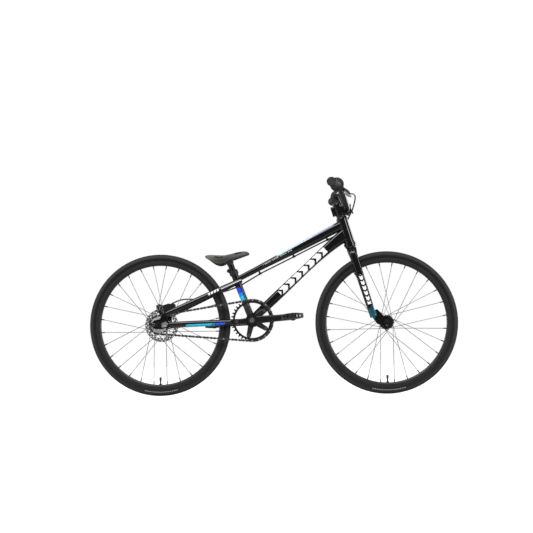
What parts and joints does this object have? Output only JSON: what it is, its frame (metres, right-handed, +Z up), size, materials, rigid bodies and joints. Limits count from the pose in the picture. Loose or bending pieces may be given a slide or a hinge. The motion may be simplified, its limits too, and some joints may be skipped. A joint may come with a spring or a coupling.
{
  "type": "bmx bike",
  "caption": "Small-wheeled racing bicycle with a low sloping frame, single gear and chain, rigid fork, low-rise handlebar and a hydraulic rear disc brake.",
  "frame": {"origin": "on the ground under the middle of the bicycle, halfway between the axles", "axes": "+X forward, +Y to the rider's left, +Z up"},
  "size_m": [1.317, 0.631, 0.7516],
  "materials": {
    "frame_paint": "gloss",
    "fork_paint": "gloss",
    "black_alloy": "satin",
    "black_steel": "satin",
    "bare_steel": "satin",
    "spoke_steel": "polished",
    "rotor_steel": "brushed",
    "chain_steel": "oiled",
    "tyre": "matt",
    "inner_tube": "matt",
    "grip_rubber": "matt",
    "hose": "gloss",
    "saddle_plastic": "textured",
    "black_plastic": "satin",
    "brake_pad": "rough"
  },
  "bodies": {
    "frame": {"head_tube": "frame_paint", "top_tube": "frame_paint", "down_tube": "frame_paint", "seat_tube": "frame_paint", "bottom_bracket_shell": "frame_paint", "bottom_bracket_cups": "black_alloy", "chainstays": "frame_paint", "seatstays": "frame_paint", "rear_dropouts": "frame_paint", "headset_bearings": "bare_steel", "seat_clamp": "black_alloy", "rear_axle": "black_steel", "frame_bolts_and_axle_nuts": "black_steel", "chain_tensioners": "black_alloy", "brake_caliper": "black_alloy", "brake_hose": "hose", "hose_guides": "black_plastic", "chain": "chain_steel"},
    "brake_pad_inner": {"brake_pad_inner": "brake_pad"},
    "brake_pad_outer": {"brake_pad_outer": "brake_pad"},
    "steering": {"fork_crown_and_steerer": "fork_paint", "fork_legs": "fork_paint", "front_axle": "black_steel", "front_axle_nuts": "black_steel", "headset_cover_and_spacers": "black_alloy", "stem_body": "black_alloy", "stem_faceplate": "black_alloy", "stem_bolts_and_cap": "black_steel", "handlebar": "black_alloy", "grips": "grip_rubber", "bar_end_plugs": "black_plastic", "brake_lever_body": "black_alloy", "brake_hose_loop": "hose"},
    "brake_lever": {"brake_lever_blade": "black_alloy"},
    "front_wheel": {"front_hub": "black_alloy", "front_hub_bearings": "bare_steel", "front_rim": "black_alloy", "front_spokes_and_nipples": "spoke_steel", "front_tyre": "tyre", "front_inner_tube": "inner_tube"},
    "rear_wheel": {"rear_hub": "black_alloy", "rear_hub_bearings": "bare_steel", "rear_rim": "black_alloy", "rear_spokes_and_nipples": "spoke_steel", "rear_tyre": "tyre", "rear_inner_tube": "inner_tube", "brake_rotor_and_bolts": "rotor_steel"},
    "rear_cog": {"rear_cog": "bare_steel", "cog_driver": "black_alloy"},
    "crankset": {"crank_arm_right": "black_alloy", "crank_arm_left": "black_alloy", "crank_spindle": "bare_steel", "chainring": "black_alloy", "chainring_bolts": "black_steel", "pedal_spindles": "bare_steel"},
    "pedal_right": {"pedal_right": "black_alloy"},
    "pedal_left": {"pedal_left": "black_alloy"},
    "seat": {"seat_post": "black_alloy", "saddle": "saddle_plastic", "saddle_bolt": "black_steel"}
  },
  "joints": [
    {"name": "steering_turn", "type": "hinge", "parent": "frame", "child": "steering", "pos_m": [0.2934, 0, 0.4875], "axis": [-0.2924, 0, 0.9563], "range_deg": [-75, 75], "deforming": ["brake_hose_loop"]},
    {"name": "front_wheel_spin", "type": "hinge", "parent": "steering", "child": "front_wheel", "pos_m": [0.405, 0, 0.2535], "axis": [0, 1, 0], "continuous": true},
    {"name": "rear_wheel_spin", "type": "hinge", "parent": "frame", "child": "rear_wheel", "pos_m": [-0.405, 0, 0.2535], "axis": [0, 1, 0], "continuous": true},
    {"name": "crank_spin", "type": "hinge", "parent": "frame", "child": "crankset", "pos_m": [-0.071, 0, 0.265], "axis": [0, 1, 0], "continuous": true, "deforming": ["chain"]},
    {"name": "rear_cog_spin", "type": "hinge", "parent": "frame", "child": "rear_cog", "pos_m": [-0.405, 0, 0.2535], "axis": [0, 1, 0], "continuous": true},
    {"name": "right_pedal_spin", "type": "hinge", "parent": "crankset", "child": "pedal_right", "pos_m": [0.07361, -0.128, 0.27562], "axis": [0, 1, 0], "continuous": true},
    {"name": "left_pedal_spin", "type": "hinge", "parent": "crankset", "child": "pedal_left", "pos_m": [-0.21561, 0.128, 0.25438], "axis": [0, 1, 0], "continuous": true},
    {"name": "brake_lever_pull", "type": "hinge", "parent": "steering", "child": "brake_lever", "pos_m": [0.273, -0.17312, 0.69615], "axis": [-0.6635, 0.13, -0.7368], "range_deg": [0, 15], "stiffness_Nm_per_rad": 0.8, "springref_deg": -8.59},
    {"name": "inner_pad_slide", "type": "slide", "parent": "frame", "child": "brake_pad_inner", "axis": [0, 1, 0], "range_m": [0, 0.0003]},
    {"name": "outer_pad_slide", "type": "slide", "parent": "frame", "child": "brake_pad_outer", "axis": [0, -1, 0], "range_m": [0, 0.0003]},
    {"name": "seat_height", "type": "slide", "parent": "frame", "child": "seat", "axis": [-0.3536, 0, 0.9354], "range_m": [-0.014, 0.05]}
  ],
  "couplings": [
    {"joint": "rear_cog_spin", "follows": "crank_spin", "ratio": 2.25},
    {"joint": "inner_pad_slide", "follows": "brake_lever_pull", "m_per_rad": 0.0011},
    {"joint": "outer_pad_slide", "follows": "brake_lever_pull", "m_per_rad": 0.0011}
  ]
}
